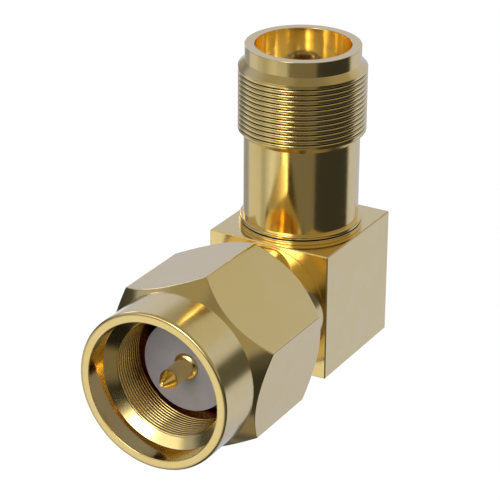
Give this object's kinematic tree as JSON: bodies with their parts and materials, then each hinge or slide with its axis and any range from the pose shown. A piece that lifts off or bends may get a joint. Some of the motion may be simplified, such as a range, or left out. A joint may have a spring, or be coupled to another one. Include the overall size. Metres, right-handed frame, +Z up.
{
  "type": "coax adapter",
  "caption": "Right-angle coax adapter: a male pin plug with a free-turning hex coupling nut, joined by a square block to a threaded female jack at 90 degrees.",
  "frame": {"origin": "centre of the block's bottom face", "axes": "+Z up along the jack's axis, -Y out along the plug's axis, which lies 3.25 mm above the origin"},
  "size_m": [0.0086, 0.017, 0.017],
  "materials": {
    "gold": "polished gold plate",
    "dielectric": "smooth, slightly waxy fluoropolymer",
    "seal": "silicone rubber"
  },
  "bodies": {
    "adapter_body": {"body_block": "gold", "jack_barrel": "gold", "jack_insulator": "dielectric", "jack_contact": "gold", "plug_shell": "gold", "plug_insulator": "dielectric", "plug_contact": "gold", "snap_ring": "gold", "gasket": "seal", "rear_insulator": "dielectric", "rear_cap": "gold"},
    "nut": {"coupling_nut": "gold"}
  },
  "joints": [
    {"name": "nut_spin", "type": "hinge", "parent": "adapter_body", "child": "nut", "pos_m": [0, -0.0075, 0.00325], "axis": [0, -1, 0], "continuous": true}
  ]
}
